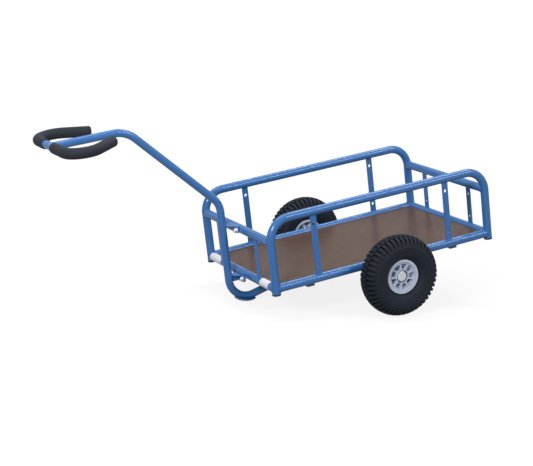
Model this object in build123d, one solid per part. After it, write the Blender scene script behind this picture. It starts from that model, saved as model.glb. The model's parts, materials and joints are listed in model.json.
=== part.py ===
"""Two-wheeled platform hand cart: a tube frame with a board deck, a drawbar with a
parking foot and a bow handle, and two pneumatic wheels on a fixed axle.

The cart is laid out level (X to the rear, Y to the right-hand side, Z up, zero at the
middle of the lower front bar) and is then turned nose-down until its foot and both tyres
stand on the floor. Lengths are in millimetres, angles in degrees.
"""

import os
from math import atan2, asin, cos, degrees, hypot, pi, radians, sin, tan

from build123d import *

# ------------------------------------------------------------------ driving dimensions
frame_length = 785.0        # front posts to rear posts, axis to axis
frame_width = 478.0         # left hoop to right hoop, axis to axis
side_height = 216.5         # lower side rail to top of hoop, axis to axis
end_bar_height = 150.0      # lower end bar to upper end bar, axis to axis
tube_diameter = 27.0        # round tubes of the frame
hoop_bend = 68.0            # bend radius of the side hoops, on the axis
post_drop = 2.5             # posts run on below the undersides of the lower rails
cap_height = 5.0            # head of the plastic post caps
cap_overhang = 0.5          # the cap's head stands this much proud of the tube

upright_width = 20.0        # flat bar uprights between the rails
upright_thickness = 5.0
side_upright_inset = 151.5  # post axis to side upright
side_upright_out = 2.5      # the uprights sit this far outside the rails' axes
end_upright_out = 4.0
end_upright_spread = 270.0  # left to right end upright
upright_hole = 10.5         # screw holes for panels
side_hole_inset = 40.0      # screw holes from the axes of the rails above and below
end_hole_inset = 36.5       # screw holes from the axes of the end bars above and below

deck_thickness = 9.0        # phenolic faced plywood
deck_top = 3.5              # deck surface above the lower rail axis
deck_gap = 1.0              # board to tube all round
support_width = 25.0        # rectangular tubes under the deck
support_height = 20.0
support_inset = 128.0       # post axis to deck support
support_lap = 2.0           # the supports reach this far under the side rails

axle_diameter = 20.0
carrier_width = 40.0        # cross member that carries the axle
carrier_height = 16.0
seat_length = 40.0          # blocks between side rails and axle
seat_width = 16.0

wheel_diameter = 260.0
wheel_offset = 317.0        # cart centre plane to wheel centre plane
tyre_width = 87.0
tyre_wall = 6.0
crown_drop = 9.0            # the tread's edge lies this much below its middle
tread_width = 64.0
rim_flange = 110.0          # outer diameter of the rim flanges
rim_seat = 103.0            # diameter on which the tyre beads sit
rim_width = 54.0
flange_thickness = 3.0
barrel_wall = 4.0
spoke_face = 23.5           # outboard faces of the spokes, from the wheel's middle
pocket_depth_inner = 29.0   # blind pockets between the spokes, over the dished web
pocket_depth_outer = 9.0
web_thickness = 4.0         # closed web behind the pockets
spoke_count = 9
spoke_width = 4.2
pocket_inner = 22.5         # radii of the pockets between the spokes
pocket_outer = 41.5
pocket_angle = -44.0        # the pocket that the valve stands in
hub_diameter = 41.0
hub_outboard = 14.0         # ends of the hub, from the wheel's middle
hub_inboard = 34.0
valve_diameter = 10.0       # rubber valve stem
valve_bend = 8.0
valve_base = -14.0          # where the stem leaves the barrel, from the wheel's middle
valve_radius = 28.0         # wheel axis to the stem's outward run
valve_tip = 17.0
bush_diameter = 29.0
bush_clearance = 0.05       # running fit of the bush on the axle, on the radius
end_play = 0.5              # bush to cap and bush to collar
collar_diameter = 32.0
collar_length = 5.0
cap_diameter = 33.0
cap_length = 6.0
cap_crown = 2.0

drawbar_reach = 50.5        # lower front bar to the upright run of the drawbar
drawbar_diameter = 25.0     # drawbar and bow handle
drawbar_bend = 66.0         # bends at the frame and in the loop, on the axis
handle_bend = 94.0          # bend behind the handle, on the axis
drawbar_slope = 46.3        # angle of the sloping run above level
slope_start = 239.5         # height at which upright run and sloping run would meet
handle_height = 531.0       # level run of the drawbar and the bow handle
handle_reach = 568.0        # lower front bar to the bow's cross piece
loop_depth = 82.5           # lowest point of the drawbar's axis below the lower bar
tail_rise = 11.5            # angle at which the tail climbs back under the deck
tail_reach = 152.0          # where the tail ends behind the lower front bar

bow_bend = 57.0             # bend radius of the bow handle, on the axis
bow_straight = 222.0        # straight cross piece between the bends
bow_turn = 130.0            # each bend turns the arm back and inwards by this angle
bow_arm_end = 409.5         # where the arms end, ahead of the lower front bar
grip_diameter = 34.0
grip_start = {"left": 26.0, "right": 53.0}      # from the drawbar's axis; the left is longer
grip_end_wall = 3.0         # closed end of the grips beyond the tube
grip_fit = 0.3              # grip to bow tube, on the radius

foot_diameter = 70.0        # pressed dish under the loop
foot_setback = -4.5         # middle of the dish from the point where the loop rests in it, rearward
foot_flat = 26.0            # flat middle of the dish
foot_rise = 8.0             # rim of the dish above its underside
foot_thickness = 3.0
foot_bed = 0.8              # the loop is bedded this deep in the dish

plate_thickness = 3.5       # flared plates that carry the drawbar
plate_root = 5.0            # half width where the flare leaves the drawbar
plate_flare = 52.0          # angle of the flare
upper_plate_top = 163.0     # top faces above the lower bar axis
lower_plate_top = -1.5
upper_plate_half = 36.0     # half widths at the bars
lower_plate_half = 27.0
bracket_thickness = 3.0     # upright flange across the rear of each plate
flange_half = 44.0
flange_depth = 22.0
flange_corner = 8.0
gusset_thickness = 4.0      # upright web under the lower plate
gusset_depth = 19.0
ear_width = 18.0            # ears under the lower bar that the lower flange is bolted to
ear_thickness = 3.0
ear_top = -6.0
ear_bottom = -21.0
ear_corner = 6.0
stud_spread = 70.0          # left to right stud
lower_stud_height = -12.0   # the upper studs are level with the upper bar's axis
stud_diameter = 8.0
stud_fit = 0.5              # flange hole to stud, on the radius
washer_diameter = 16.0
washer_thickness = 1.6
nut_width = 13.0
nut_height = 6.5
thread_end = 4.0            # stud end beyond the nut
tail_lug_length = 30.0      # lug that holds the tail to the front deck support
tail_lug_thickness = 5.0

# ------------------------------------------------------------------ derived places
tube_radius = tube_diameter / 2
drawbar_radius = drawbar_diameter / 2
post_end = -(tube_radius + post_drop)
axle_radius = axle_diameter / 2
wheel_radius = wheel_diameter / 2
half_width = frame_width / 2
deck_underside = deck_top - deck_thickness
axle_x = frame_length / 2
axle_z = deck_underside - carrier_height - axle_radius

loop_x = drawbar_bend - drawbar_reach
loop_z = drawbar_bend - loop_depth
loop_corner_z = loop_z - drawbar_bend * tan(radians((90 + tail_rise) / 2))
slope_end_x = -drawbar_reach - (handle_height - slope_start) / tan(radians(drawbar_slope))
tail_end_z = loop_corner_z + (tail_reach + drawbar_reach) * tan(radians(tail_rise))

# The parking angle puts the underside of the foot and the tyres on one plane.
foot_distance = drawbar_bend + drawbar_radius - foot_bed + foot_thickness
span = hypot(axle_x - loop_x, axle_z - loop_z)
park_angle = degrees(asin((wheel_radius - foot_distance) / span)
                     - atan2(axle_z - loop_z, axle_x - loop_x))
park_up = Vector(sin(radians(park_angle)), 0, cos(radians(park_angle)))


# ------------------------------------------------------------------ shape helpers
def bent_tube(points, bend, diameter):
    """A round bar along a route of straight runs joined by bends."""
    route = FilletPolyline(*points, radius=bend)
    section = Plane(origin=route @ 0, z_dir=route % 0) * Circle(diameter / 2)
    return sweep(section, path=route)


def bar_along_x(x0, x1, y, z, diameter):
    return Pos((x0 + x1) / 2, y, z) * Rot(0, 90, 0) * Cylinder(diameter / 2, x1 - x0)


def bar_along_y(x, y0, y1, z, diameter):
    return Pos(x, (y0 + y1) / 2, z) * Rot(90, 0, 0) * Cylinder(diameter / 2, y1 - y0)


def block(x0, x1, y0, y1, z0, z1):
    size = (x1 - x0, y1 - y0, z1 - z0)
    return Pos((x0 + x1) / 2, (y0 + y1) / 2, (z0 + z1) / 2) * Box(*size)


def turned(outline):
    """A solid of revolution about Z from (radius, height) points."""
    face = make_face(Plane.XZ * Polyline(*outline, close=True))
    return revolve(face, Axis.Z)


# ------------------------------------------------------------------ frame
sides = {"left": -1, "right": 1}
ends = {"front": 0.0, "rear": frame_length}
pieces = {}


def hoop(y):
    """One side hoop: two posts and the top rail, bent from one tube."""
    route = [(0, y, post_end), (0, y, side_height),
             (frame_length, y, side_height), (frame_length, y, post_end)]
    return bent_tube(route, hoop_bend, tube_diameter)


hoops = {side: hoop(sign * half_width) for side, sign in sides.items()}
hoop_pair = hoops["left"] + hoops["right"]

rails = {}
for side, sign in sides.items():
    pieces[f"hoop_{side}"] = hoops[side]
    rails[side] = bar_along_x(0, frame_length, sign * half_width, 0, tube_diameter)

end_bars = {}
for end, x in ends.items():
    for level, z in {"lower": 0.0, "upper": end_bar_height}.items():
        full_bar = bar_along_y(x, -half_width, half_width, z, tube_diameter)
        end_bars[end, level] = full_bar
        pieces[f"{end}_bar_{level}"] = full_bar - hoop_pair

for side in sides:
    corners = hoops[side] + end_bars["front", "lower"] + end_bars["rear", "lower"]
    pieces[f"lower_rail_{side}"] = rails[side] - corners


def post_cap(x, y):
    """Head of the plastic plug that closes a post."""
    head = Pos(x, y, post_end - cap_height / 2) * Cylinder(tube_radius + cap_overhang, cap_height)
    return fillet(head.edges().sort_by(Axis.Z)[0], 1.5)


for side, sign in sides.items():
    for end, x in ends.items():
        pieces[f"post_cap_{end}_{side}"] = post_cap(x, sign * half_width)

# ------------------------------------------------------------------ flat bar uprights
def upright(height, hole_inset):
    """Flat bar in the XZ plane, from tube axis to tube axis, with two screw holes."""
    bar = block(-upright_width / 2, upright_width / 2,
                -upright_thickness / 2, upright_thickness / 2, 0, height)
    for z in (hole_inset, height - hole_inset):
        bar -= bar_along_y(0, -upright_thickness, upright_thickness, z, upright_hole)
    return bar


side_upright_x = {"front": side_upright_inset, "rear": frame_length - side_upright_inset}
for side, sign in sides.items():
    for end in ends:
        bar = Pos(side_upright_x[end], sign * (half_width + side_upright_out), 0) * upright(
            side_height, side_hole_inset)
        pieces[f"side_upright_{end}_{side}"] = bar - hoops[side] - rails[side]
        outwards = end_upright_out if end == "rear" else -end_upright_out
        turn = Pos(ends[end] + outwards, sign * end_upright_spread / 2, 0) * Rot(0, 0, 90)
        bar = turn * upright(end_bar_height, end_hole_inset)
        pieces[f"end_upright_{end}_{side}"] = bar - end_bars[end, "lower"] - end_bars[end, "upper"]

# ------------------------------------------------------------------ deck and its supports
deck_edge = tube_radius + deck_gap
pieces["deck_board"] = block(deck_edge, frame_length - deck_edge,
                             deck_edge - half_width, half_width - deck_edge,
                             deck_underside, deck_top)

support_half = half_width - tube_radius + support_lap
support_bottom = deck_underside - support_height
for end, x in {"front": support_inset, "rear": frame_length - support_inset}.items():
    beam = block(x - support_width / 2, x + support_width / 2,
                 -support_half, support_half, support_bottom, deck_underside)
    pieces[f"deck_support_{end}"] = beam - rails["left"] - rails["right"]

# ------------------------------------------------------------------ axle
carrier_half = half_width - seat_width / 2
carrier = block(axle_x - carrier_width / 2, axle_x + carrier_width / 2,
                -carrier_half, carrier_half, deck_underside - carrier_height, deck_underside)
pieces["axle_carrier"] = carrier - rails["left"] - rails["right"]

axle_half = wheel_offset + hub_outboard + end_play + cap_length - cap_crown
axle = bar_along_y(axle_x, -axle_half, axle_half, axle_z, axle_diameter)
pieces["axle"] = axle

for side, sign in sides.items():
    seat = block(axle_x - seat_length / 2, axle_x + seat_length / 2,
                 sign * half_width - seat_width / 2, sign * half_width + seat_width / 2,
                 axle_z, 0)
    pieces[f"axle_seat_{side}"] = seat - rails[side] - axle


# ------------------------------------------------------------------ wheels, about local Z
def tyre():
    """Pneumatic tyre without its tread pattern, hollow towards the rim."""
    half = tyre_width / 2
    edge = (wheel_radius - crown_drop, tread_width / 2)
    bead = (rim_seat / 2, rim_width / 2 - flange_thickness)
    heel = (rim_flange / 2, rim_width / 2 - flange_thickness)
    lip = (rim_flange / 2 + 1.5, rim_width / 2)
    wide = ((wheel_radius + rim_flange / 2) / 2 - 4, half)
    inner_wide = (wide[0], half - tyre_wall)
    inner_edge = (edge[0] - tyre_wall, edge[1] - tyre_wall)
    inner_bead = (bead[0], bead[1] - tyre_wall)

    def low(p):
        return (p[0], -p[1])

    outline = [
        Line(inner_bead, bead),
        Line(bead, heel),
        Line(heel, lip),
        ThreePointArc(lip, wide, edge),
        ThreePointArc(edge, (wheel_radius, 0), low(edge)),
        ThreePointArc(low(edge), low(wide), low(lip)),
        Line(low(lip), low(heel)),
        Line(low(heel), low(bead)),
        Line(low(bead), low(inner_bead)),
        ThreePointArc(low(inner_bead), low(inner_wide), low(inner_edge)),
        ThreePointArc(low(inner_edge), (wheel_radius - tyre_wall, 0), inner_edge),
        ThreePointArc(inner_edge, inner_wide, inner_bead),
    ]
    return revolve(make_face(Plane.XZ * Curve(outline)), Axis.Z)


def rim():
    """Moulded rim: barrel with two flanges, a web with nine blind pockets, and the hub."""
    half = rim_width / 2
    flange = rim_flange / 2
    seat = rim_seat / 2
    inside = seat - barrel_wall
    hub = hub_diameter / 2
    bore = bush_diameter / 2
    solid = turned([
        (bore, -hub_inboard), (hub, -hub_inboard), (hub, pocket_floor(hub) - web_thickness),
        (inside, pocket_floor(inside) - web_thickness), (inside, -half), (flange, -half),
        (flange, flange_thickness - half), (seat, flange_thickness - half),
        (seat, half - flange_thickness), (flange, half - flange_thickness),
        (flange, half), (inside, half), (inside, spoke_face),
        (hub, spoke_face), (hub, hub_outboard), (bore, hub_outboard),
    ])
    pitch = 2 * pi / spoke_count
    for i in range(spoke_count):
        solid -= pocket(radians(pocket_angle) + i * pitch, pitch)
    return solid - Rot(0, 0, pocket_angle) * Pos(valve_radius, 0, 0) * Cylinder(
        valve_diameter / 2, rim_width)


def pocket_floor(radius):
    """Height of the dished web's outboard face at a radius."""
    share = (radius - pocket_inner) / (pocket_outer - pocket_inner)
    return spoke_face - pocket_depth_inner - share * (pocket_depth_outer - pocket_depth_inner)


def pocket(angle, pitch):
    """One pocket between two parallel-sided spokes, down to the dished web."""
    corners = []
    for radius, turn in ((pocket_inner, -1), (pocket_outer, -1), (pocket_outer, 1), (pocket_inner, 1)):
        spread = pitch / 2 - asin(spoke_width / 2 / radius)
        a = angle + turn * spread
        corners.append((radius * cos(a), radius * sin(a)))
    bulge = (pocket_outer * cos(angle), pocket_outer * sin(angle))
    waist = (pocket_inner * cos(angle), pocket_inner * sin(angle))
    edges = [
        Line(corners[0], corners[1]),
        ThreePointArc(corners[1], bulge, corners[2]),
        Line(corners[2], corners[3]),
        ThreePointArc(corners[3], waist, corners[0]),
    ]
    well = Pos(0, 0, -rim_width) * extrude(make_face(Curve(edges)), 2 * rim_width)
    low, high = pocket_inner - web_thickness, pocket_outer + web_thickness
    below = turned([(low, -2 * rim_width), (high, -2 * rim_width),
                    (high, pocket_floor(high)), (low, pocket_floor(low))])
    return well - below


def bush():
    return turned([
        (axle_radius + bush_clearance, -hub_inboard), (bush_diameter / 2, -hub_inboard),
        (bush_diameter / 2, hub_outboard), (axle_radius + bush_clearance, hub_outboard),
    ])


def collar():
    low = -hub_inboard - end_play - collar_length
    return turned([
        (axle_radius, low), (collar_diameter / 2, low),
        (collar_diameter / 2, low + collar_length), (axle_radius, low + collar_length),
    ])


def axle_cap():
    """Push-on cap that covers the axle's end and keeps the wheel on."""
    base = hub_outboard + end_play
    cap = Pos(0, 0, base + cap_length / 2) * Cylinder(cap_diameter / 2, cap_length)
    cap = fillet(cap.edges().sort_by(Axis.Z)[-1], cap_crown)
    return cap - Pos(0, 0, base + (cap_length - cap_crown) / 2) * Cylinder(
        axle_radius, cap_length - cap_crown)


def valve(seat_in):
    """Valve stem: out of the barrel of the rim it is seated in, then out of a pocket."""
    route = [(rim_seat / 2, 0, valve_base), (valve_radius, 0, valve_base), (valve_radius, 0, valve_tip)]
    stem = bent_tube(route, valve_bend, valve_diameter)
    inside = Cylinder(rim_seat / 2 - barrel_wall / 2, wheel_diameter)
    return (Rot(0, 0, pocket_angle) * stem & inside) - seat_in


wheel_rim = rim()
wheel_parts = {"tyre": tyre(), "rim": wheel_rim, "hub_bush": bush(), "valve": valve(wheel_rim)}
axle_parts = {"axle_collar": collar(), "axle_cap": axle_cap()}
for side, sign in sides.items():
    place = Pos(axle_x, sign * wheel_offset, axle_z) * Rot(-sign * 90, 0, 0)
    for name, solid in {**wheel_parts, **axle_parts}.items():
        pieces[f"{name}_{side}"] = place * solid

# ------------------------------------------------------------------ bow handle
bow_corner_y = bow_straight / 2 + bow_bend * tan(radians(bow_turn / 2))
arm_direction = Vector(sin(radians(bow_turn)), cos(radians(bow_turn)), 0)
bow_arm_length = (handle_reach - bow_arm_end) / arm_direction.X


def bow_route(arm_length):
    """Left arm, cross piece and right arm, as corners of the bent tube's axis."""
    corner = Vector(-handle_reach, bow_corner_y, handle_height)
    arm_end = corner + arm_direction * arm_length
    right = [corner, arm_end]
    left = [Vector(point.X, -point.Y, point.Z) for point in reversed(right)]
    return left + right


bow = bent_tube(bow_route(bow_arm_length), bow_bend, drawbar_diameter)
pieces["handle_bow"] = bow

grip_bore = bent_tube(bow_route(bow_arm_length), bow_bend, drawbar_diameter + 2 * grip_fit)
grip_skin = bent_tube(bow_route(bow_arm_length + grip_end_wall), bow_bend, grip_diameter)
for side, sign in sides.items():
    start, far = sign * grip_start[side], sign * 2 * bow_corner_y
    keep = block(-2 * handle_reach, 0, min(start, far), max(start, far),
                 handle_height - grip_diameter, handle_height + grip_diameter)
    pieces[f"grip_{side}"] = (grip_skin & keep) - grip_bore

# ------------------------------------------------------------------ drawbar
drawbar = bent_tube([
    (-handle_reach, 0, handle_height), (slope_end_x, 0, handle_height),
    (-drawbar_reach, 0, slope_start), (-drawbar_reach, 0, loop_corner_z),
    (tail_reach, 0, tail_end_z),
], (handle_bend, drawbar_bend, drawbar_bend), drawbar_diameter)
pieces["drawbar"] = drawbar - bow


def foot():
    """Pressed round dish, its flat middle down."""
    rim_radius = foot_diameter / 2
    flat = foot_flat / 2
    run = rim_radius - flat
    curve = (run ** 2 + foot_rise ** 2) / (2 * foot_rise)
    half_turn = asin(run / curve) / 2
    lower_mid = (flat + curve * sin(half_turn), curve * (1 - cos(half_turn)))
    inner = curve - foot_thickness
    full_turn = 2 * half_turn
    upper_mid = (flat + inner * sin(half_turn), curve - inner * cos(half_turn))
    upper_end = (flat + inner * sin(full_turn), curve - inner * cos(full_turn))
    edges = [
        Line((0, 0), (flat, 0)),
        ThreePointArc((flat, 0), lower_mid, (rim_radius, foot_rise)),
        Line((rim_radius, foot_rise), upper_end),
        ThreePointArc(upper_end, upper_mid, (flat, foot_thickness)),
        Line((flat, foot_thickness), (0, foot_thickness)),
        Line((0, foot_thickness), (0, 0)),
    ]
    return revolve(make_face(Plane.XZ * Curve(edges)), Axis.Z)


park_back = Vector(cos(radians(park_angle)), 0, -sin(radians(park_angle)))
foot_origin = Vector(loop_x, 0, loop_z) - park_up * foot_distance + park_back * foot_setback
foot_plane = Plane(origin=foot_origin, x_dir=park_back, z_dir=park_up)
pieces["parking_foot"] = foot_plane * foot() - drawbar


# ------------------------------------------------------------------ drawbar fixing
def upright_tab(x, thickness, y0, y1, z0, z1, corner):
    """Plate across the cart with rounded lower corners, its rear face at x."""
    tab = block(x - thickness, x, y0, y1, z0, z1)
    return fillet(tab.edges().filter_by(Axis.X).group_by(Axis.Z)[0], corner)


def drawbar_bracket(top, half, stud_z):
    """Flared plate and upright flange, before they are shaped to the tubes."""
    root_x = drawbar_radius - drawbar_reach
    corner_x = root_x + (half - plate_root) / tan(radians(plate_flare))
    rear_x = -tube_radius / 2
    right = [(-drawbar_reach, plate_root), (root_x, plate_root), (corner_x, half), (rear_x, half)]
    left = [(x, -y) for x, y in reversed(right)]
    face = make_face(Polyline(*right, *left, close=True))
    plate = Pos(0, 0, top - plate_thickness) * extrude(face, plate_thickness)
    flange = upright_tab(-tube_radius, bracket_thickness, -flange_half, flange_half,
                         top - flange_depth, top, flange_corner)
    for sign in sides.values():
        flange -= bar_along_x(-drawbar_reach, 0, sign * stud_spread / 2, stud_z,
                              stud_diameter + 2 * stud_fit)
    return plate + flange


def stud():
    """Weld stud with washer and nut about local Z, zero at the surface it is welded to."""
    nut_base = bracket_thickness + washer_thickness
    length = nut_base + nut_height + thread_end
    shank = Pos(0, 0, length / 2) * Cylinder(stud_diameter / 2, length)
    washer = Pos(0, 0, nut_base - washer_thickness / 2) * Cylinder(
        washer_diameter / 2, washer_thickness)
    hexagon = RegularPolygon(nut_width / 2, 6, major_radius=False)
    return shank + washer + Pos(0, 0, nut_base) * extrude(hexagon, nut_height)


upper_bracket = drawbar_bracket(upper_plate_top, upper_plate_half, end_bar_height)
lower_bracket = drawbar_bracket(lower_plate_top, lower_plate_half, lower_stud_height)
lower_underside = lower_plate_top - plate_thickness
lower_bracket += block(-drawbar_reach, -tube_radius, -gusset_thickness / 2, gusset_thickness / 2,
                       lower_underside - gusset_depth, lower_underside)
pieces["drawbar_bracket_upper"] = upper_bracket - drawbar - end_bars["front", "upper"]
pieces["drawbar_bracket_lower"] = lower_bracket - drawbar - end_bars["front", "lower"]
for side, sign in sides.items():
    y = sign * stud_spread / 2
    ear = upright_tab(ear_thickness - tube_radius, ear_thickness, y - ear_width / 2,
                      y + ear_width / 2, ear_bottom, ear_top, ear_corner)
    pieces[f"bracket_ear_{side}"] = ear - end_bars["front", "lower"]
    for level, z in {"upper": end_bar_height, "lower": lower_stud_height}.items():
        pieces[f"bracket_stud_{level}_{side}"] = Pos(-tube_radius, y, z) * Rot(0, -90, 0) * stud()

# The tail's lug: a tab under the front deck support on an upright web that meets the tube.
tail_lug_top = support_bottom
lug_tab = block(support_inset - tail_lug_length / 2, support_inset + tail_lug_length / 2,
                -tail_lug_length / 2, tail_lug_length / 2,
                tail_lug_top - tail_lug_thickness, tail_lug_top)
lug_web = block(support_inset - tail_lug_length / 2, support_inset + tail_lug_length / 2,
                -tail_lug_thickness / 2, tail_lug_thickness / 2,
                tail_end_z - drawbar_radius, tail_lug_top - tail_lug_thickness)
pieces["tail_lug"] = lug_tab + lug_web - drawbar

# ------------------------------------------------------------------ parked pose and files
park = Rot(0, -park_angle, 0)
parked = {name: park * solid for name, solid in pieces.items()}
whole = Compound(children=[Compound(solid.wrapped) for solid in parked.values()])
box = whole.bounding_box()
to_floor = Pos(-box.center().X, 0, -box.min.Z)

os.makedirs("parts", exist_ok=True)
for name, solid in parked.items():
    export_step(to_floor * solid, f"parts/{name}.step")


def placed(x, y, z):
    """Where a point of the level layout lies in the finished part."""
    point = (to_floor * park * Pos(x, y, z)).position
    return tuple(round(value, 9) for value in point)


print("park angle", round(park_angle, 12))
print("level zero", placed(0, 0, 0))
print("wheel centres", placed(axle_x, -wheel_offset, axle_z), placed(axle_x, wheel_offset, axle_z))
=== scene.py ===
"""Looks of the platform hand cart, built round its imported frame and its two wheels."""
import json
from math import cos, pi, radians, sin, sqrt

import bmesh
import bpy
from mathutils import Matrix, Vector


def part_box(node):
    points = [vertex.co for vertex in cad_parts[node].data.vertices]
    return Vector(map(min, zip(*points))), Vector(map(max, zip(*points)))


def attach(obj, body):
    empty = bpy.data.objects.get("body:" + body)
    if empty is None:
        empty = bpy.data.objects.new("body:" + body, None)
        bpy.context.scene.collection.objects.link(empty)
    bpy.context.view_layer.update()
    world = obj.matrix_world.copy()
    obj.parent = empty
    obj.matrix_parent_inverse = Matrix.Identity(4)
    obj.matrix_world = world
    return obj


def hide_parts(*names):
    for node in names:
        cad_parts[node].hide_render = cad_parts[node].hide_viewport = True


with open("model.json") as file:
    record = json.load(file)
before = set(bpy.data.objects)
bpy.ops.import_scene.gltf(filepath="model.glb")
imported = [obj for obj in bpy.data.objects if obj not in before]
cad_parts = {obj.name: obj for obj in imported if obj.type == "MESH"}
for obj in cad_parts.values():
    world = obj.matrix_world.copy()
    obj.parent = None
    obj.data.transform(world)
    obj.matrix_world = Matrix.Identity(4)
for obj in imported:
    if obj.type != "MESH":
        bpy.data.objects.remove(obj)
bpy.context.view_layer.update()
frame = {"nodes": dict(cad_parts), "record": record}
nodes = frame["nodes"]
slot_of = {part["node"]: part["material_slot"] for part in frame["record"]["subparts"]}

# ---------------------------------------------------------------- welded tube frame
# Round steel tube of 27 mm, 25 mm in the drawbar, and flat bar, bent, notched and welded in a
# jig, then powder coated in one colour. The coat is an even satin blue with a faint orange
# peel, and it rounds off the weld beads round the ends of the tubes and of the flat bars.

# Sizes are in millimetres. The frame's own axes start midway between the front posts, on the
# lower tubes' level: X runs back, Y to the cart's right, Z up.
TUBE_RADIUS = 13.5
DRAWBAR_RADIUS = 12.5
FRAME_LENGTH = 785.0
HALF_WIDTH = 239.0
SIDE_HEIGHT = 216.5
END_BAR_HEIGHT = 150.0
DECK_TOP = 3.5
SIDE_UPRIGHT_INSET = 151.5
END_UPRIGHT_HALF_SPREAD = 135.0
UPRIGHT_HALF = (10.0, 2.5)              # half the flat bar's width and thickness
SIDE_UPRIGHT_OUT = 2.5                  # how far the bars stand outside the tubes' axes
END_UPRIGHT_OUT = 4.0
HANDLE_REACH = 568.0
HANDLE_HEIGHT = 531.0
PAINT_HEX = "346BAC"
PAINT_LIGHT_HEX = "3971B1"
PAINT_CLOUDS_PER_M = 9.0                # 111 mm apart
ORANGE_PEEL_MM = 2.4
BEAD_RADIUS = 1.7
SMALL_BEAD_RADIUS = 1.2
BEAD_PITCH = 3.2
BEAD_RIPPLE = 0.14                      # share of the bead's radius
BEAD_STEP = 0.8
BEAD_SIDES = 8
TUBE_BEAD_OUT = 0.9                     # the bead's middle off the tube that it lies on
TUBE_BEAD_ROUND = 0.2                   # and off the tube that it runs round
FLAT_BEAD_OUT = 0.3
SQUARE_END = 0.001                      # an end rounding too small to show

# The deck's mounting face gives the frame's own axes, which are turned nose-down.
deck_face = next(m for m in frame["record"]["mounts"] if m["name"] == "deck_face")
up = Vector(deck_face["axis"])
back = Vector((up.z, 0, -up.x))
turn = Matrix((back, Vector((0, 1, 0)), up)).transposed().to_4x4()
zero = Vector(deck_face["pos_m"]) - back * FRAME_LENGTH / 2000 - up * DECK_TOP / 1000
layout = Matrix.Translation(zero) @ turn @ Matrix.Scale(0.001, 4)


def linear(hex_code):
    """Linear RGBA from an sRGB hex colour."""
    channels = [int(hex_code[i:i + 2], 16) / 255 for i in (0, 2, 4)]
    return [c / 12.92 if c <= 0.04045 else ((c + 0.055) / 1.055) ** 2.4 for c in channels] + [1]


def add(tree, kind, inputs=(), **settings):
    """Adds a node; inputs is a dict of socket to value or to the socket that feeds it."""
    node = tree.nodes.new(kind)
    for name, value in settings.items():
        setattr(node, name, value)
    for name, value in dict(inputs).items():
        if isinstance(value, bpy.types.NodeSocket):
            tree.links.new(value, node.inputs[name])
        else:
            node.inputs[name].default_value = value
    return node


def new_material(name):
    """An empty material, its node tree, its Object coordinates and its output node."""
    material = bpy.data.materials.new(name)
    material.use_nodes = True
    tree = material.node_tree
    tree.nodes.clear()
    place = add(tree, "ShaderNodeTexCoord").outputs["Object"]
    return material, tree, place, add(tree, "ShaderNodeOutputMaterial")


def finish_shader(tree, output, inputs):
    """The shader of a material, joined to its output node."""
    shader = add(tree, "ShaderNodeBsdfPrincipled", inputs)
    tree.links.new(shader.outputs["BSDF"], output.inputs["Surface"])


# Polyester powder coat on steel, sprayed and baked: satin, with a fine orange peel. The peel
# is drawn at twice its real size so that it breaks up the highlights.
paint, tree, place, output = new_material("Powder-coated steel")
cloud = add(tree, "ShaderNodeTexNoise", {"Vector": place, "Scale": PAINT_CLOUDS_PER_M,
                                         "Detail": 3.0})
tint = add(tree, "ShaderNodeMix", {0: cloud.outputs["Fac"], 6: linear(PAINT_HEX),
                                   7: linear(PAINT_LIGHT_HEX)}, data_type="RGBA")
peel = add(tree, "ShaderNodeTexNoise", {"Vector": place, "Scale": 1000 / ORANGE_PEEL_MM,
                                        "Detail": 1.0})
bump = add(tree, "ShaderNodeBump", {"Height": peel.outputs["Fac"], "Strength": 0.02,
                                    "Distance": 0.0004})
gloss = add(tree, "ShaderNodeMapRange", {"Value": cloud.outputs["Fac"], 3: 0.14, 4: 0.2})
finish_shader(tree, output, {
    "Base Color": tint.outputs[2], "Roughness": gloss.outputs[0],
    "Normal": bump.outputs["Normal"], "IOR": 1.5})
for name, cad in nodes.items():
    if slot_of[name] == "blue_paint":
        cad.material_slots[0].material = paint


def group(name, sockets):
    """A geometry tree with named inputs, its input node and its output node."""
    tree = bpy.data.node_groups.new(name, "GeometryNodeTree")
    tree.interface.new_socket("Geometry", in_out="OUTPUT", socket_type="NodeSocketGeometry")
    for label, kind in {"Geometry": "Geometry", **sockets, "Material": "Material"}.items():
        tree.interface.new_socket(label, in_out="INPUT", socket_type="NodeSocket" + kind)
    return tree, add(tree, "NodeGroupInput").outputs, add(tree, "NodeGroupOutput")


def end_group(tree, geometry, entry, out):
    """Every tree ends in Realize Instances and Set Material."""
    real = add(tree, "GeometryNodeRealizeInstances", {"Geometry": geometry})
    done = add(tree, "GeometryNodeSetMaterial", {"Geometry": real.outputs[0],
                                                 "Material": entry["Material"]})
    tree.links.new(done.outputs[0], out.inputs["Geometry"])


def maths(tree, operation, a, b=0.0):
    """The result of one sum on two numbers or sockets."""
    return add(tree, "ShaderNodeMath", {0: a, 1: b}, operation=operation).outputs[0]


# Round bar along a line: rippled for a weld bead, with rounded ends for a sleeve.
swept, entry, out = group("Round bar along a line", {
    "Radius": "Float", "Step": "Float", "Sides": "Int", "Ripple": "Float",
    "Ripple pitch": "Float", "End rounding": "Float"})
line = add(swept, "GeometryNodeResampleCurve", {"Curve": entry["Geometry"],
                                                "Length": entry["Step"]}, mode="LENGTH")
along = add(swept, "GeometryNodeSplineParameter").outputs["Length"]
whole = add(swept, "GeometryNodeSplineLength").outputs["Length"]
turns = maths(swept, "DIVIDE", along, entry["Ripple pitch"])
wave = maths(swept, "SINE", maths(swept, "MULTIPLY", turns, 2 * pi))
rippled = maths(swept, "ADD", entry["Radius"], maths(swept, "MULTIPLY", wave, entry["Ripple"]))
to_end = maths(swept, "MINIMUM", along, maths(swept, "SUBTRACT", whole, along))
share = maths(swept, "MINIMUM", maths(swept, "DIVIDE", to_end, entry["End rounding"]), 1.0)
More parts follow.
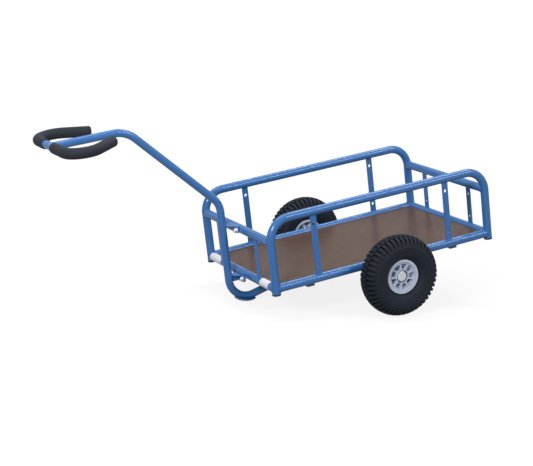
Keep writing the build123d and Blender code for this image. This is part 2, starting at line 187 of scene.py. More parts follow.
missing = maths(swept, "SUBTRACT", 1.0, share)
squared = maths(swept, "MULTIPLY", missing, missing)
arch = maths(swept, "SQRT", maths(swept, "SUBTRACT", 1.0, squared))
loss = maths(swept, "MULTIPLY", maths(swept, "SUBTRACT", 1.0, arch), entry["End rounding"])
ring = add(swept, "GeometryNodeCurvePrimitiveCircle", {"Resolution": entry["Sides"],
                                                       "Radius": 1.0})
body = add(swept, "GeometryNodeCurveToMesh", {
    "Curve": line.outputs[0], "Profile Curve": ring.outputs[0],
    "Scale": maths(swept, "SUBTRACT", rippled, loss), "Fill Caps": True})
end_group(swept, body.outputs[0], entry, out)


def lines(name, routes, cyclic):
    """A curve of straight runs through each route's points."""
    data = bpy.data.curves.new(name, "CURVE")
    data.dimensions = "3D"
    for route in routes:
        spline = data.splines.new("POLY")
        spline.points.add(len(route) - 1)
        for point, corner in zip(spline.points, route):
            point.co = (*corner, 1)
        spline.use_cyclic_u = cyclic
    return data


def settle(name, mesh, place, body, sharp=50.0):
    """A finished piece: its place in its mesh, its faces outwards, riding on its body."""
    mesh.transform(place)
    shape = bmesh.new()
    shape.from_mesh(mesh)
    bmesh.ops.remove_doubles(shape, verts=shape.verts, dist=1e-6)
    bmesh.ops.recalc_face_normals(shape, faces=shape.faces)
    shape.to_mesh(mesh)
    shape.free()
    mesh.polygons.foreach_set("use_smooth", [True] * len(mesh.polygons))
    mesh.set_sharp_from_angle(angle=radians(sharp))
    piece = bpy.data.objects.new(name, mesh)
    bpy.context.scene.collection.objects.link(piece)
    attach(piece, body)
    return piece


def grown(data, tree, values):
    """The plain mesh that a geometry tree makes of a curve or a mesh."""
    if isinstance(data, bpy.types.Mesh):
        data.materials.append(values["Material"])
    holder = bpy.data.objects.new(data.name + "_base", data)
    bpy.context.scene.collection.objects.link(holder)
    modifier = holder.modifiers.new("Shape", "NODES")
    modifier.node_group = tree
    for item in tree.interface.items_tree:
        if item.in_out == "INPUT" and item.name in values:
            modifier[item.identifier] = values[item.name]
    holder.update_tag()
    bpy.context.view_layer.update()
    depsgraph = bpy.context.evaluated_depsgraph_get()
    mesh = bpy.data.meshes.new_from_object(holder.evaluated_get(depsgraph))
    bpy.data.objects.remove(holder)
    return mesh


def round_joint(main, branch, at, radius=TUBE_RADIUS, steps=48):
    """Bead round the end of a tube that is welded to another of its size across it."""
    across = branch.cross(main)
    seam = []
    for i in range(steps):
        t = 2 * pi * i / steps
        out_by = sqrt((radius + TUBE_BEAD_OUT) ** 2 - (radius * sin(t)) ** 2)
        radial = main * cos(t) + across * sin(t)
        seam.append(Vector(at) + branch * out_by + radial * (radius + TUBE_BEAD_ROUND))
    return seam


def flat_joint(main, branch, at, outwards, steps=5):
    """Bead round the end of a flat bar that stands off a tube's axis, long side along it."""
    across = outwards.normalized()
    off = outwards.length
    long_half, short_half = UPRIGHT_HALF
    corners = [(long_half, -short_half), (long_half, short_half), (-long_half, short_half),
               (-long_half, -short_half)]
    seam = []
    for (a0, b0), (a1, b1) in zip(corners, corners[1:] + corners[:1]):
        for i in range(steps):
            a, b = a0 + (a1 - a0) * i / steps, b0 + (b1 - b0) * i / steps
            out_by = sqrt((TUBE_RADIUS + FLAT_BEAD_OUT) ** 2 - (off + b) ** 2)
            seam.append(Vector(at) + branch * out_by + main * a + across * (off + b))
    return seam


X, Y, Z = Vector((1, 0, 0)), Vector((0, 1, 0)), Vector((0, 0, 1))
tube_seams, bar_seams = [], []
for side in (-1, 1):
    for x, inward in ((0, X), (FRAME_LENGTH, -X)):
        for z in (0, END_BAR_HEIGHT):
            tube_seams.append(round_joint(Z, -side * Y, (x, side * HALF_WIDTH, z)))
        tube_seams.append(round_joint(Z, inward, (x, side * HALF_WIDTH, 0)))
        y = side * END_UPRIGHT_HALF_SPREAD
        bar_seams.append(flat_joint(Y, Z, (x, y, 0), -inward * END_UPRIGHT_OUT))
        bar_seams.append(flat_joint(Y, -Z, (x, y, END_BAR_HEIGHT), -inward * END_UPRIGHT_OUT))
        x = SIDE_UPRIGHT_INSET if x == 0 else FRAME_LENGTH - SIDE_UPRIGHT_INSET
        off = side * Y * SIDE_UPRIGHT_OUT
        bar_seams.append(flat_joint(X, Z, (x, side * HALF_WIDTH, 0), off))
        bar_seams.append(flat_joint(X, -Z, (x, side * HALF_WIDTH, SIDE_HEIGHT), off))
tube_seams.append(round_joint(Y, X, (-HANDLE_REACH, 0, HANDLE_HEIGHT), DRAWBAR_RADIUS))

for name, seams, radius in (("weld_tube_joints", tube_seams, BEAD_RADIUS),
                            ("weld_flat_bars", bar_seams, SMALL_BEAD_RADIUS)):
    mesh = grown(lines(name, seams, True), swept, {
        "Radius": radius, "Step": BEAD_STEP, "Sides": BEAD_SIDES,
        "Ripple": BEAD_RIPPLE * radius, "Ripple pitch": BEAD_PITCH,
        "End rounding": SQUARE_END, "Material": paint})
    settle(name, mesh, layout, "chassis")

# ---------------------------------------------------------------- labels on the front bar
# Two self-adhesive labels of white vinyl film, left blank, each cut as one rectangle and
# wrapped round the lower front bar. The film is smooth with a soft sheen and faint wrinkles.
LABEL_SPANS = {"label_left": (-207.0, -150.0), "label_right": (139.0, 220.0)}
LABEL_LIFT = 0.12
LABEL_THICKNESS = 0.25
LABEL_WRAP = (-70.0, 118.0)             # degrees from straight ahead, upwards positive
LABEL_ROWS, LABEL_COLUMNS = 40, 12
LABEL_MOTTLES_PER_M = 55.0              # 18 mm apart

label_film, tree, place, output = new_material("White vinyl label film")
soft = add(tree, "ShaderNodeTexNoise", {"Vector": place, "Scale": LABEL_MOTTLES_PER_M,
                                        "Detail": 2.0})
tone = add(tree, "ShaderNodeMix", {0: soft.outputs["Fac"], 6: linear("E2E6F0"),
                                   7: linear("ECEFF6")}, data_type="RGBA")
wrinkle = add(tree, "ShaderNodeBump", {"Height": soft.outputs["Fac"], "Strength": 0.15,
                                       "Distance": 0.001})
finish_shader(tree, output, {"Base Color": tone.outputs[2], "Roughness": 0.32,
                             "Normal": wrinkle.outputs["Normal"]})
for name, (start, stop) in LABEL_SPANS.items():
    mesh = bpy.data.meshes.new(name)
    points, faces = [], []
    inner, outer = TUBE_RADIUS + LABEL_LIFT, TUBE_RADIUS + LABEL_LIFT + LABEL_THICKNESS
    for radius in (inner, outer):
        for i in range(LABEL_ROWS + 1):
            a = radians(LABEL_WRAP[0] + (LABEL_WRAP[1] - LABEL_WRAP[0]) * i / LABEL_ROWS)
            for j in range(LABEL_COLUMNS + 1):
                y = start + (stop - start) * j / LABEL_COLUMNS
                points.append((-radius * cos(a), y, radius * sin(a)))
    wide = LABEL_COLUMNS + 1
    layer = (LABEL_ROWS + 1) * wide
    for base in (0, layer):
        for i in range(LABEL_ROWS):
            for j in range(LABEL_COLUMNS):
                k = base + i * wide + j
                faces.append((k, k + 1, k + wide + 1, k + wide))
    cut_edge = (list(range(LABEL_COLUMNS))
                + [i * wide + LABEL_COLUMNS for i in range(LABEL_ROWS)]
                + [LABEL_ROWS * wide + j for j in range(LABEL_COLUMNS, 0, -1)]
                + [i * wide for i in range(LABEL_ROWS, 0, -1)])
    for a, b in zip(cut_edge, cut_edge[1:] + cut_edge[:1]):
        faces.append((a, b, b + layer, a + layer))
    mesh.from_pydata(points, [], faces)
    mesh.materials.append(label_film)
    settle(name, mesh, layout, "chassis")

# ---------------------------------------------------------------- deck board
# Birch plywood of 9 mm with a brown phenolic film pressed on both faces, sawn to size and
# laid in the frame. The film is smooth and semi-gloss with a faint mottle; the sawn edges
# show the plies.
PLY_MM = 1.3
FILM_MOTTLE_MM = 14.0
FILM_GRAIN_MM = 2.2
FILM_CLOUDS_PER_M = 6.0                 # 167 mm apart
FLAT_ENOUGH = 0.7                       # faces turned less than this are sawn edges

board_film, tree, place, output = new_material("Phenolic film on birch plywood")
mottle = add(tree, "ShaderNodeTexNoise", {"Vector": place, "Scale": 1000 / FILM_MOTTLE_MM,
                                          "Detail": 6.0, "Roughness": 0.7})
wide_mottle = add(tree, "ShaderNodeTexNoise", {"Vector": place, "Scale": FILM_CLOUDS_PER_M,
                                               "Detail": 2.0})
grain = add(tree, "ShaderNodeTexNoise", {"Vector": place, "Scale": 1000 / FILM_GRAIN_MM,
                                         "Detail": 2.0})
film = add(tree, "ShaderNodeMix", {0: mottle.outputs["Fac"], 6: linear("44322A"),
                                   7: linear("6C564C")}, data_type="RGBA")
across = add(tree, "ShaderNodeVectorMath", {0: place, 1: tuple(up)}, operation="DOT_PRODUCT")
plies = maths(tree, "MULTIPLY", across.outputs["Value"], pi * 1000 / PLY_MM)
stripe_share = add(tree, "ShaderNodeMapRange", {"Value": maths(tree, "SINE", plies), 1: -0.4,
                                                2: 0.4})
ply = add(tree, "ShaderNodeMix", {0: stripe_share.outputs[0], 6: linear("8A6B4B"),
                                  7: linear("B8946A")}, data_type="RGBA")
surface = add(tree, "ShaderNodeNewGeometry").outputs["Normal"]
facing = add(tree, "ShaderNodeVectorMath", {0: surface, 1: tuple(up)}, operation="DOT_PRODUCT")
on_film = maths(tree, "GREATER_THAN", maths(tree, "ABSOLUTE", facing.outputs["Value"]),
                FLAT_ENOUGH)
colour = add(tree, "ShaderNodeMix", {0: on_film, 6: ply.outputs[2], 7: film.outputs[2]},
             data_type="RGBA")
sheen = add(tree, "ShaderNodeMapRange", {"Value": wide_mottle.outputs["Fac"], 3: 0.26, 4: 0.36})
rough = add(tree, "ShaderNodeMix", {0: on_film, 2: 0.8, 3: sheen.outputs[0]})
relief = maths(tree, "ADD", grain.outputs["Fac"], mottle.outputs["Fac"])
bump = add(tree, "ShaderNodeBump", {"Height": relief, "Strength": 0.22, "Distance": 0.0006})
finish_shader(tree, output, {"Base Color": colour.outputs[2], "Roughness": rough.outputs[0],
                             "Normal": bump.outputs["Normal"], "IOR": 1.18})
nodes["deck_board"].material_slots[0].material = board_film

# ---------------------------------------------------------------- post caps and hub bushes
# Plugs in the posts and plain bushes in the wheels, injection-moulded in polyethylene and
# pressed home. The plastic is black, with a fine spark-eroded texture and a soft low sheen.
SPARKS_PER_M = 900.0                    # 1.1 mm apart

cap_plastic, tree, place, output = new_material("Moulded black polyethylene")
spark = add(tree, "ShaderNodeTexNoise", {"Vector": place, "Scale": SPARKS_PER_M,
                                         "Detail": 2.0})
scuff = add(tree, "ShaderNodeMapRange", {"Value": spark.outputs["Fac"], 3: 0.42, 4: 0.58})
bump = add(tree, "ShaderNodeBump", {"Height": spark.outputs["Fac"], "Strength": 0.15,
                                    "Distance": 0.0003})
finish_shader(tree, output, {"Base Color": linear("1B1C1F"), "Roughness": scuff.outputs[0],
                             "Normal": bump.outputs["Normal"]})
for name, cad in nodes.items():
    if slot_of[name] == "black_plastic":
        cad.material_slots[0].material = cap_plastic

# ---------------------------------------------------------------- tyres
# Pneumatic tyres of black rubber, vulcanised in a segmented mould that repeats one pitch of
# the tread: two rows of square blocks along the middle, between three grooves, and a lug on
# each side that runs on down the shoulder.
PITCHES = 48
TREAD_RADIUS = 130.0
TREAD_EDGE = (121.0, 32.0)              # radius, and height from the middle plane
WALL_WIDEST = (88.5, 43.0)
WALL_FOOT = (59.5, 30.0)
BEAD_SEAT = 51.5
TREAD_DEPTH = 6.0
LUG_TIP_RADIUS = 105.0
LUG_FADE = 0.6
LUG_GAP_TOP, LUG_GAP_TIP = 0.2, 0.05    # half the gap, as shares of the pitch
BLOCK_GAP = 0.075
GAP_SLOPE = 0.022
PITCH_STEPS = 11                        # sections drawn across one pitch, both ends included
LUG_GAP_STEPS = (0, 1, 9, 10)           # the ones that lie in the gap between two lugs
BLOCK_GAP_STEPS = (4, 5, 6)             # and between two blocks
GROOVE_ROWS = (0, 0.9)                  # heights of the section's points in each part
BLOCK_ROWS = (1.7, 5, 9, 12.4)
SIDE_GROOVE_ROWS = (13.2, 15.0)
LUG_ROWS = (15.8, 19, 23, 27, 30)
WALL_POINTS = 43
WALL_RINGS = ((71.0, 73.0), (95.5, 98.0))
WALL_RING_HEIGHT = 1.2
RIM_LIP = ((58.4, 27.4), (56.6, 24.3), (55.3, 24.0), (BEAD_SEAT, 24.0))
CAVITY = ((BEAD_SEAT, 18), (86, 36), (110, 26), (120.5, 0))
CAVITY_POINTS = 9
DUST_PER_M = 28.0                       # 36 mm apart
SKIN_PER_M = 700.0                      # 1.4 mm apart

rubber, tree, place, output = new_material("Vulcanised black rubber")
dust = add(tree, "ShaderNodeTexNoise", {"Vector": place, "Scale": DUST_PER_M, "Detail": 5.0})
tone = add(tree, "ShaderNodeMix", {0: dust.outputs["Fac"], 6: linear("151B26"),
                                   7: linear("1B222E")}, data_type="RGBA")
# The faces carry a little dust; the grooves and the inside are painted near black, a painted
# shade for these recesses.
painted_groove_shade = add(tree, "ShaderNodeAttribute", attribute_name="groove").outputs["Fac"]
tone = add(tree, "ShaderNodeMix", {0: painted_groove_shade, 6: tone.outputs[2], 7: linear("06080C")},
           data_type="RGBA")
skin = add(tree, "ShaderNodeTexNoise", {"Vector": place, "Scale": SKIN_PER_M, "Detail": 2.0})
matt = add(tree, "ShaderNodeMapRange", {"Value": dust.outputs["Fac"], 3: 0.6, 4: 0.72})
bump = add(tree, "ShaderNodeBump", {"Height": skin.outputs["Fac"], "Strength": 0.2,
                                    "Distance": 0.0004})
finish_shader(tree, output, {"Base Color": tone.outputs[2], "Roughness": matt.outputs[0],
                             "IOR": 1.32, "Normal": bump.outputs["Normal"]})


def arc_through(a, b, c, count):
    """Points on the arc through three (radius, height) points, both ends included."""
    (ax, ay), (bx, by), (cx, cy) = a, b, c
    d = 2 * (ax * (by - cy) + bx * (cy - ay) + cx * (ay - by))
    a2, b2, c2 = ax * ax + ay * ay, bx * bx + by * by, cx * cx + cy * cy
    ox = (a2 * (by - cy) + b2 * (cy - ay) + c2 * (ay - by)) / d
    oy = (a2 * (cx - bx) + b2 * (ax - cx) + c2 * (bx - ax)) / d
    centre = Vector((ox, oy))
    start, end = Vector(a) - centre, Vector(c) - centre
    sweep = start.angle_signed(end)
    if sweep * start.angle_signed(Vector(b) - centre) < 0:
        sweep -= 2 * pi if sweep > 0 else -2 * pi
    spin = [Matrix.Rotation(-sweep * i / (count - 1), 2) for i in range(count)]
    return [centre + turned @ start for turned in spin]


def half_section():
    """One half of the tyre's outside, from the middle: (point, depth of cut, row, gap)."""
    drop = TREAD_RADIUS - TREAD_EDGE[0]
    curve = drop / 2 + TREAD_EDGE[1] ** 2 / (2 * drop)

    def crown(height):
        return Vector((TREAD_RADIUS - curve + sqrt(curve ** 2 - height ** 2), height))

    rows = [(crown(h), TREAD_DEPTH, "groove", BLOCK_GAP) for h in GROOVE_ROWS]
    rows += [(crown(h), TREAD_DEPTH, "block", BLOCK_GAP) for h in BLOCK_ROWS]
    rows += [(crown(h), TREAD_DEPTH, "groove", LUG_GAP_TOP) for h in SIDE_GROOVE_ROWS]
    rows += [(crown(h), TREAD_DEPTH, "lug", LUG_GAP_TOP) for h in LUG_ROWS]
    for point in arc_through(TREAD_EDGE, WALL_WIDEST, WALL_FOOT, WALL_POINTS):
        share = (point.x - LUG_TIP_RADIUS) / (TREAD_EDGE[0] - LUG_TIP_RADIUS)
        if share > 0:
            gap = LUG_GAP_TIP + (LUG_GAP_TOP - LUG_GAP_TIP) * sqrt(share)
            rows.append((point, TREAD_DEPTH * share ** LUG_FADE, "lug", gap))
        else:
            ring = WALL_RING_HEIGHT * any(a < point.x < b for a, b in WALL_RINGS)
            rows.append((point + Vector((0, ring)), 0.0, "wall", LUG_GAP_TIP))
    return rows


def steps_across(gap):
    """Fractions of the pitch at which the section is drawn: lug gap, then block gap."""
    half = (0, gap - GAP_SLOPE, gap + GAP_SLOPE, 0.5 - BLOCK_GAP - GAP_SLOPE,
            0.5 - BLOCK_GAP + GAP_SLOPE)
    return (*half, 0.5, *(1 - f for f in reversed(half)))


def is_cut(row, step):
    """Whether a row is cut down at this step across the pitch."""
    return {"groove": True, "lug": step in LUG_GAP_STEPS, "block": step in BLOCK_GAP_STEPS,
            "wall": False}[row]


def tyre_pitch():
    """One pitch of the tyre: a closed ring of points at each step across the pitch."""
    half = half_section()
    mirrored = [(Vector((p.x, -p.y)), d, r, g) for p, d, r, g in reversed(half[1:])]
    outside = mirrored + half
    seat, flank, shoulder, top = CAVITY
    low_seat, low_flank, low_shoulder = [(r, -h) for r, h in (seat, flank, shoulder)]
    inside = [Vector(p) for p in RIM_LIP]
    inside += arc_through(seat, flank, shoulder, CAVITY_POINTS)
    inside += arc_through(shoulder, top, low_shoulder, CAVITY_POINTS)[1:]
    inside += arc_through(low_shoulder, low_flank, low_seat, CAVITY_POINTS)[1:]
    inside += [Vector((r, -h)) for r, h in reversed(RIM_LIP)]
    points, faces, grooves = [], [], []
    for step in range(PITCH_STEPS):
        for i, (point, depth, row, gap) in enumerate(outside):
            before = outside[max(i - 1, 0)][0]
            after = outside[min(i + 1, len(outside) - 1)][0]
            along_wall = (after - before).normalized()
            inwards = Vector((-along_wall.y, along_wall.x))
            at = point + inwards * depth * is_cut(row, step)
            angle = 2 * pi / PITCHES * steps_across(gap)[step]
            points.append((at.x * cos(angle), at.x * sin(angle), at.y))
            # Points cut down into a groove are marked for the painted shade of the grooves.
            grooves.append(float(is_cut(row, step)))
        for at in inside:
            angle = 2 * pi / PITCHES * step / (PITCH_STEPS - 1)
            points.append((at.x * cos(angle), at.x * sin(angle), at.y))
            grooves.append(1.0)
    ring_size = len(outside) + len(inside)
    for step in range(PITCH_STEPS - 1):
        for i in range(ring_size):
            a, b = step * ring_size + i, step * ring_size + (i + 1) % ring_size
            faces.append((a, b, b + ring_size, a + ring_size))
    mesh = bpy.data.meshes.new("tyre_pitch")
    mesh.from_pydata(points, [], faces)
    # The groove attribute marks where the painted shade of the grooves and the inside goes.
    mesh.attributes.new("groove", "FLOAT", "POINT").data.foreach_set("value", grooves)
    return mesh


# The same piece set round a ring, as a segmented mould or an indexing jig does.
ring_of, entry, out = group("Copies round a ring", {"Copies": "Int", "Joined within": "Float"})
seats = add(ring_of, "GeometryNodeMeshLine", {"Count": entry["Copies"],
                                              "Offset": (0.0, 0.0, 0.0)})
step_angle = maths(ring_of, "DIVIDE", 2 * pi, entry["Copies"])
spot = add(ring_of, "GeometryNodeInputIndex").outputs[0]
about = add(ring_of, "ShaderNodeCombineXYZ", {"Z": maths(ring_of, "MULTIPLY", spot, step_angle)})
spread = add(ring_of, "GeometryNodeInstanceOnPoints", {
    "Points": seats.outputs[0], "Instance": entry["Geometry"], "Rotation": about.outputs[0]})
one = add(ring_of, "GeometryNodeRealizeInstances", {"Geometry": spread.outputs[0]})
joined = add(ring_of, "GeometryNodeMergeByDistance", {"Geometry": one.outputs[0],
                                                      "Distance": entry["Joined within"]})
end_group(ring_of, joined.outputs[0], entry, out)

# A wheel's own frame has its axis along Z, outwards, with its middle plane at zero.
sides = {"left": -1, "right": 1}
wheel_place = {}
for side, sign in sides.items():
    low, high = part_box(f"tyre_{side}")
    wheel_place[side] = (Matrix.Translation((low + high) / 2) @ turn
                         @ Matrix.Rotation(radians(-90 * sign), 4, "X") @ Matrix.Scale(0.001, 4))
    mesh = grown(tyre_pitch(), ring_of, {"Copies": PITCHES, "Joined within": 0.01,
                                         "Material": rubber})
    tyre = settle(f"treaded_tyre_{side}", mesh, wheel_place[side], f"wheel_{side}",
                  sharp=38)
    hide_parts(f"tyre_{side}")

# ---------------------------------------------------------------- rims, hubs and valves
# Rims injection-moulded in light grey polypropylene with nine spokes, stiffened by ribs
# behind them, with the valve pushed through the web. The plastic has a fine texture and a
# low sheen.
RIM_CLOUDS_PER_M = 40.0                 # 25 mm apart
RIM_TEXTURE_PER_M = 800.0               # 1.25 mm apart
BLOOM_PER_M = 120.0                     # 8 mm apart

rim_plastic, tree, place, output = new_material("Moulded grey polypropylene")
flow = add(tree, "ShaderNodeTexNoise", {"Vector": place, "Scale": RIM_CLOUDS_PER_M,
                                        "Detail": 3.0})
tone = add(tree, "ShaderNodeMix", {0: flow.outputs["Fac"], 6: linear("BAC4D7"),
                                   7: linear("C5CFE1")}, data_type="RGBA")
texture = add(tree, "ShaderNodeTexNoise", {"Vector": place, "Scale": RIM_TEXTURE_PER_M,
                                           "Detail": 2.0})
bump = add(tree, "ShaderNodeBump", {"Height": texture.outputs["Fac"], "Strength": 0.12,
                                    "Distance": 0.0003})
finish_shader(tree, output, {"Base Color": tone.outputs[2], "Roughness": 0.45,
                             "Normal": bump.outputs["Normal"]})
# Valve stems are moulded in soft black rubber, smoother than the tyre; the ring round the hub's
# cap is drawn in it too.
soft_rubber, tree, place, output = new_material("Soft black rubber")
bloom = add(tree, "ShaderNodeTexNoise", {"Vector": place, "Scale": BLOOM_PER_M, "Detail": 3.0})
bump = add(tree, "ShaderNodeBump", {"Height": bloom.outputs["Fac"], "Strength": 0.1,
                                    "Distance": 0.0003})
finish_shader(tree, output, {"Base Color": linear("0C0D0F"), "Roughness": 0.6,
                             "IOR": 1.35, "Normal": bump.outputs["Normal"]})
for name, cad in nodes.items():
    if slot_of[name] == "rim_plastic":
        cad.material_slots[0].material = rim_plastic
    if slot_of[name] == "black_rubber":
        cad.material_slots[0].material = soft_rubber

# Two fine raised lines run round the flange, nine ribs stiffen the web from behind, and a ring
# of black rubber is drawn round the cap in the hub.
HUB_RING_RADIUS = 18.8
HUB_RING_HEIGHT = 16.6
HUB_RING_SECTION = 2.1
FLANGE_FACE = 27.0
FLANGE_LINES = (45.5, 52.0)
FLANGE_LINE_SECTION = 0.45
RIB_COUNT = 9
RIB_TURN = radians(-24.0)
RIB_THICKNESS = 4.0
RIB_FOOT = 4.0                          # length of the level part of the free edge
RIB_ROUNDING = 0.6
RIB_RUN = (20.0, 42.0)
RIB_LEVELS = (-26.0, -20.0)             # inner and outer end of the free edge
WEB_LEVELS = (-11.0, 12.0)              # inside the dished web, at the same two ends
ROUND_POINTS = 96
ROUND_STEP = 1.6
ROUND_SIDES = 12


def round_line(radius, height):
    """Points round the wheel's axis."""
    angles = [2 * pi * i / ROUND_POINTS for i in range(ROUND_POINTS)]
    return [(radius * cos(a), radius * sin(a), height) for a in angles]


def back_rib():
    """One rib behind the web, tapered towards the barrel."""
    inner, outer = RIB_RUN
    (deep, shallow), (low_web, high_web) = RIB_LEVELS, WEB_LEVELS
    outline = [(inner, low_web), (inner, deep), (inner + RIB_FOOT, deep), (outer, shallow),
               (outer, high_web)]
    shape = bmesh.new()
    corners = [shape.verts.new((r, -RIB_THICKNESS / 2, z)) for r, z in outline]
    near = shape.faces.new(corners)
    far = bmesh.ops.extrude_face_region(shape, geom=[near])["geom"]
    bmesh.ops.translate(shape, vec=(0, RIB_THICKNESS, 0),
                        verts=[v for v in far if isinstance(v, bmesh.types.BMVert)])
    bmesh.ops.bevel(shape, geom=shape.edges[:], offset=RIB_ROUNDING, segments=2,
                    affect="EDGES")
    bmesh.ops.rotate(shape, verts=shape.verts, matrix=Matrix.Rotation(RIB_TURN, 3, "Z"))
    mesh = bpy.data.meshes.new("back_rib")
    shape.to_mesh(mesh)
    shape.free()
    return mesh


for side in sides:
    loops = {"hub_seal": ([round_line(HUB_RING_RADIUS, HUB_RING_HEIGHT)], HUB_RING_SECTION, soft_rubber,
                          "black_rubber"),
             "flange_lines": ([round_line(r, FLANGE_FACE) for r in FLANGE_LINES],
                              FLANGE_LINE_SECTION, rim_plastic, "rim_plastic")}
    for name, (routes, section, material, slot) in loops.items():
        mesh = grown(lines(name, routes, True), swept, {
            "Radius": section, "Step": ROUND_STEP, "Sides": ROUND_SIDES, "Ripple": 0.0,
            "Ripple pitch": 1.0, "End rounding": SQUARE_END, "Material": material})
        settle(f"{name}_{side}", mesh, wheel_place[side], f"wheel_{side}")
    mesh = grown(back_rib(), ring_of, {"Copies": RIB_COUNT, "Joined within": 0.0001,
                                       "Material": rim_plastic})
    settle(f"rim_ribs_{side}", mesh, wheel_place[side], f"wheel_{side}")

# ---------------------------------------------------------------- axle, caps and studs
# Turned and pressed steel with bright zinc plate: the axle, its collars and push-on caps,
# and the studs with their washers and nuts. The plate is metallic with a faint spangle.
SPANGLES_PER_M = 160.0                  # 6 mm apart

zinc, tree, place, output = new_material("Bright zinc-plated steel")
spangle = add(tree, "ShaderNodeTexNoise", {"Vector": place, "Scale": SPANGLES_PER_M,
                                           "Detail": 4.0})
tone = add(tree, "ShaderNodeMix", {0: spangle.outputs["Fac"], 6: linear("E2E8F0"),
                                   7: linear("F6F8FC")}, data_type="RGBA")
worn = add(tree, "ShaderNodeMapRange", {"Value": spangle.outputs["Fac"], 3: 0.24, 4: 0.42})
finish_shader(tree, output, {"Base Color": tone.outputs[2], "Metallic": 1.0,
                             "Roughness": worn.outputs[0]})
for name, cad in nodes.items():
    if slot_of[name] == "zinc":
        cad.material_slots[0].material = zinc

# ---------------------------------------------------------------- handle grips
# Soft vinyl sleeves dipped thick and pushed over the bow's arms, closed and rounded at their
# ends. The vinyl is a dark bluish grey, matt, with a fine grain.
BOW_BEND = 57.0
BOW_STRAIGHT_HALF = 111.0
BOW_TURN = radians(130.0)
BOW_ARM_END = 409.5
BEND_POINTS = 40
GRIP_STARTS = {"left": 26.0, "right": 53.0}
GRIP_RADIUS = 17.0
GRIP_END_WALL = 3.0
GRIP_END_ROUNDING = 4.0
GRIP_STEP = 1.2
GRIP_SIDES = 40
VINYL_CLOUDS_PER_M = 18.0               # 56 mm apart
VINYL_GRAIN_PER_M = 420.0               # 2.4 mm apart

vinyl, tree, place, output = new_material("Dipped grey vinyl")
cloudy = add(tree, "ShaderNodeTexNoise", {"Vector": place, "Scale": VINYL_CLOUDS_PER_M,
                                          "Detail": 3.0})
tone = add(tree, "ShaderNodeMix", {0: cloudy.outputs["Fac"], 6: linear("1C212B"),
                                   7: linear("232934")}, data_type="RGBA")
pores = add(tree, "ShaderNodeTexNoise", {"Vector": place, "Scale": VINYL_GRAIN_PER_M,
                                         "Detail": 3.0})
bump = add(tree, "ShaderNodeBump", {"Height": pores.outputs["Fac"], "Strength": 0.2,
                                    "Distance": 0.0004})
finish_shader(tree, output, {"Base Color": tone.outputs[2], "Roughness": 0.75,
                             "IOR": 1.4, "Normal": bump.outputs["Normal"]})
for side, sign in sides.items():
    route = [Vector((-HANDLE_REACH, y, 0)) for y in (GRIP_STARTS[side], BOW_STRAIGHT_HALF)]
    for i in range(1, BEND_POINTS + 1):
        a = BOW_TURN * i / BEND_POINTS
        route.append(Vector((-HANDLE_REACH + BOW_BEND * (1 - cos(a)),
                             BOW_STRAIGHT_HALF + BOW_BEND * sin(a), 0)))
    heading = Vector((sin(BOW_TURN), cos(BOW_TURN), 0))
    arm = (-BOW_ARM_END - route[-1].x) / heading.x + GRIP_END_WALL
    route.append(route[-1] + heading * arm)
    route = [(p.x, sign * p.y, HANDLE_HEIGHT) for p in route]
    mesh = grown(lines("grip", [route], False), swept, {
        "Radius": GRIP_RADIUS, "Step": GRIP_STEP, "Sides": GRIP_SIDES, "Ripple": 0.0,
        "Ripple pitch": 1.0, "End rounding": GRIP_END_ROUNDING, "Material": vinyl})
    grip = settle(f"vinyl_grip_{side}", mesh, layout, "chassis", sharp=60)
    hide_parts(f"grip_{side}")

# ---------------------------------------------------------------- studio
# A white sweep lit by two long soft boxes behind and beside the cart, which draw fine lines
# along its tubes, by a square one overhead and by a fill from the handle side.
CAMERA_PLACE = (-1.94325, -4.4076, 1.52751)     # metres, in the frame's own axes
CAMERA_RIGHT = (0.88741, -0.4471, -0.11029)
CAMERA_AHEAD = (0.4037, 0.8707, -0.2807)
CAMERA_LENS = 106.1
SENSOR_WIDTH = 36.0
WORLD_LEVEL = 0.42
GLOSSY_SHARE = 0.45                     # how much of the white a reflection sees
LAMP_AIM = (0.2, 0, 0.2)
LAMPS = {"side box": ((2.0, -3.1, 2.75), 2.4, 0.35, 55),      # place, length, width, power
         "far overhead box": ((1.6, 0.9, 3.4), 2.4, 0.35, 36),
         "overhead box": ((-0.6, 0.6, 3.0), 1.8, 1.8, 24),
         "left box": ((-3.0, -2.4, 2.0), 1.0, 1.0, 100)}
FLOOR_HALF = 30
FLOOR_GREY = (0.15, 0.15, 0.15, 1)      # what the lamps light, so that the shadow shows
FLOOR_LIFT = 0.85                       # what is added to it near the cart
FAR_FLOOR_LIFT = 0.95
FLOOR_FADE = (1.2, 4.0)

right = (turn.to_3x3() @ Vector(CAMERA_RIGHT)).normalized()
ahead = (turn.to_3x3() @ Vector(CAMERA_AHEAD)).normalized()
overhead = right.cross(ahead).normalized()
camera = bpy.data.objects.new("camera", bpy.data.cameras.new("camera"))
bpy.context.scene.collection.objects.link(camera)
camera.data.lens = CAMERA_LENS
camera.data.sensor_width = SENSOR_WIDTH
pose = Matrix((right, overhead, -ahead)).transposed().to_4x4()
pose.translation = zero + turn.to_3x3() @ Vector(CAMERA_PLACE)
camera.matrix_world = pose
bpy.context.scene.camera = camera

bpy.context.scene.view_settings.view_transform = "Standard"


def white_share(tree):
    """1 for what the camera sees directly, a share of it for reflections, 0 for light."""
    path = add(tree, "ShaderNodeLightPath").outputs
    return maths(tree, "MAXIMUM", path["Is Camera Ray"],
                 maths(tree, "MULTIPLY", path["Is Glossy Ray"], GLOSSY_SHARE))


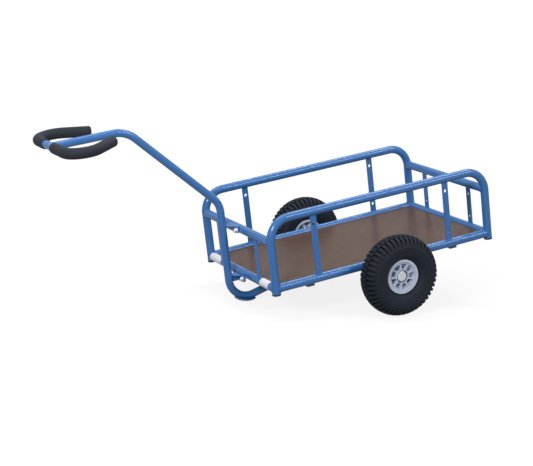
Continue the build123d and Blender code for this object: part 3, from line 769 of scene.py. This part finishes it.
world = bpy.data.worlds.new("studio")
bpy.context.scene.world = world
world.use_nodes = True
tree = world.node_tree
tree.nodes.clear()
level = add(tree, "ShaderNodeMapRange", {"Value": white_share(tree), 3: WORLD_LEVEL, 4: 1.0})
sky = add(tree, "ShaderNodeBackground", {"Color": (1, 1, 1, 1), "Strength": level.outputs[0]})
add(tree, "ShaderNodeOutputWorld", {"Surface": sky.outputs[0]})

# Rectangular lamps aimed at the deck, their long sides level.
for name, (lamp_place, length, width, power) in LAMPS.items():
    lamp = bpy.data.objects.new(name, bpy.data.lights.new(name, "AREA"))
    bpy.context.scene.collection.objects.link(lamp)
    lamp.data.shape = "RECTANGLE"
    lamp.data.size, lamp.data.size_y = length, width
    lamp.data.energy = power
    lamp.location = lamp_place
    aim = Vector(LAMP_AIM) - Vector(lamp_place)
    lamp.rotation_euler = aim.to_track_quat("-Z", "Y").to_euler()

floor_mesh = bpy.data.meshes.new("floor")
corners = [(x * FLOOR_HALF, y * FLOOR_HALF, 0) for x, y in ((-1, -1), (1, -1), (1, 1), (-1, 1))]
floor_mesh.from_pydata(corners, [], [(0, 1, 2, 3)])
floor = bpy.data.objects.new("floor", floor_mesh)
bpy.context.scene.collection.objects.link(floor)
sweep_paper, tree, place, output = new_material("White paper sweep")
matt = add(tree, "ShaderNodeBsdfDiffuse", {"Color": FLOOR_GREY})
far_out = add(tree, "ShaderNodeVectorMath", {0: place}, operation="LENGTH").outputs["Value"]
lift = add(tree, "ShaderNodeMapRange", {"Value": far_out, 1: FLOOR_FADE[0], 2: FLOOR_FADE[1],
                                        3: FLOOR_LIFT, 4: FAR_FLOOR_LIFT})
strength = maths(tree, "MULTIPLY", white_share(tree), lift.outputs[0])
lifted = add(tree, "ShaderNodeEmission", {"Color": (1, 1, 1, 1), "Strength": strength})
both = add(tree, "ShaderNodeAddShader", {0: matt.outputs[0], 1: lifted.outputs[0]})
tree.links.new(both.outputs[0], output.inputs["Surface"])
floor_mesh.materials.append(sweep_paper)
